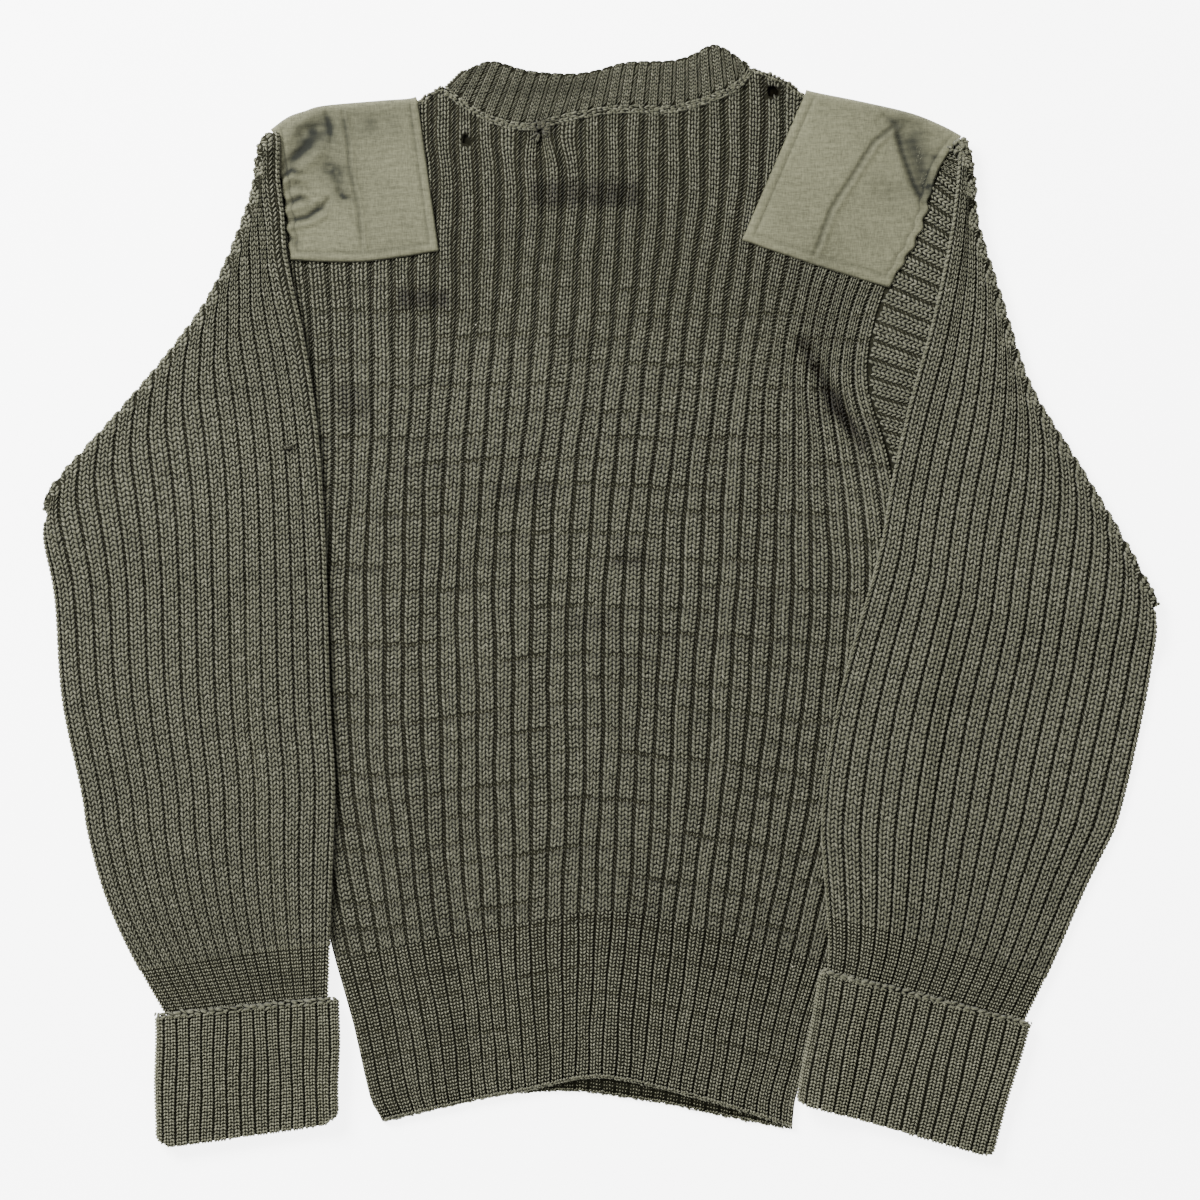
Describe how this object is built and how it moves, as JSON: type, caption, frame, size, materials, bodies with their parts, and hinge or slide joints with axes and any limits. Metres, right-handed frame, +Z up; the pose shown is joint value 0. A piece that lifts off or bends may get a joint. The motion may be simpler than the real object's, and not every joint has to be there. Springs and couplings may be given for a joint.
{
  "type": "darned wool sweater",
  "caption": "Ribbed olive wool pullover laid flat on its front, with shoulder patches, turned-back cuffs, sleeves folded down, darns and holes.",
  "frame": {"origin": "middle of the outline seen from above, on the surface that the sweater lies on", "axes": "+X towards the wearer's right side, +Y from hem to neck, +Z up from the surface, the garment's back facing up"},
  "size_m": [0.7264, 0.7226, 0.0195],
  "materials": {
    "wool_rib": "matte knit",
    "woven_cotton": "matte weave"
  },
  "bodies": {
    "root": {"front_panel": "wool_rib", "back_panel": "wool_rib", "neckband": "wool_rib", "shoulder_patch_left": "woven_cotton", "shoulder_patch_right": "woven_cotton", "sleeve_left": "wool_rib", "sleeve_right": "wool_rib", "cuff_left": "wool_rib", "cuff_right": "wool_rib"}
  },
  "joints": []
}
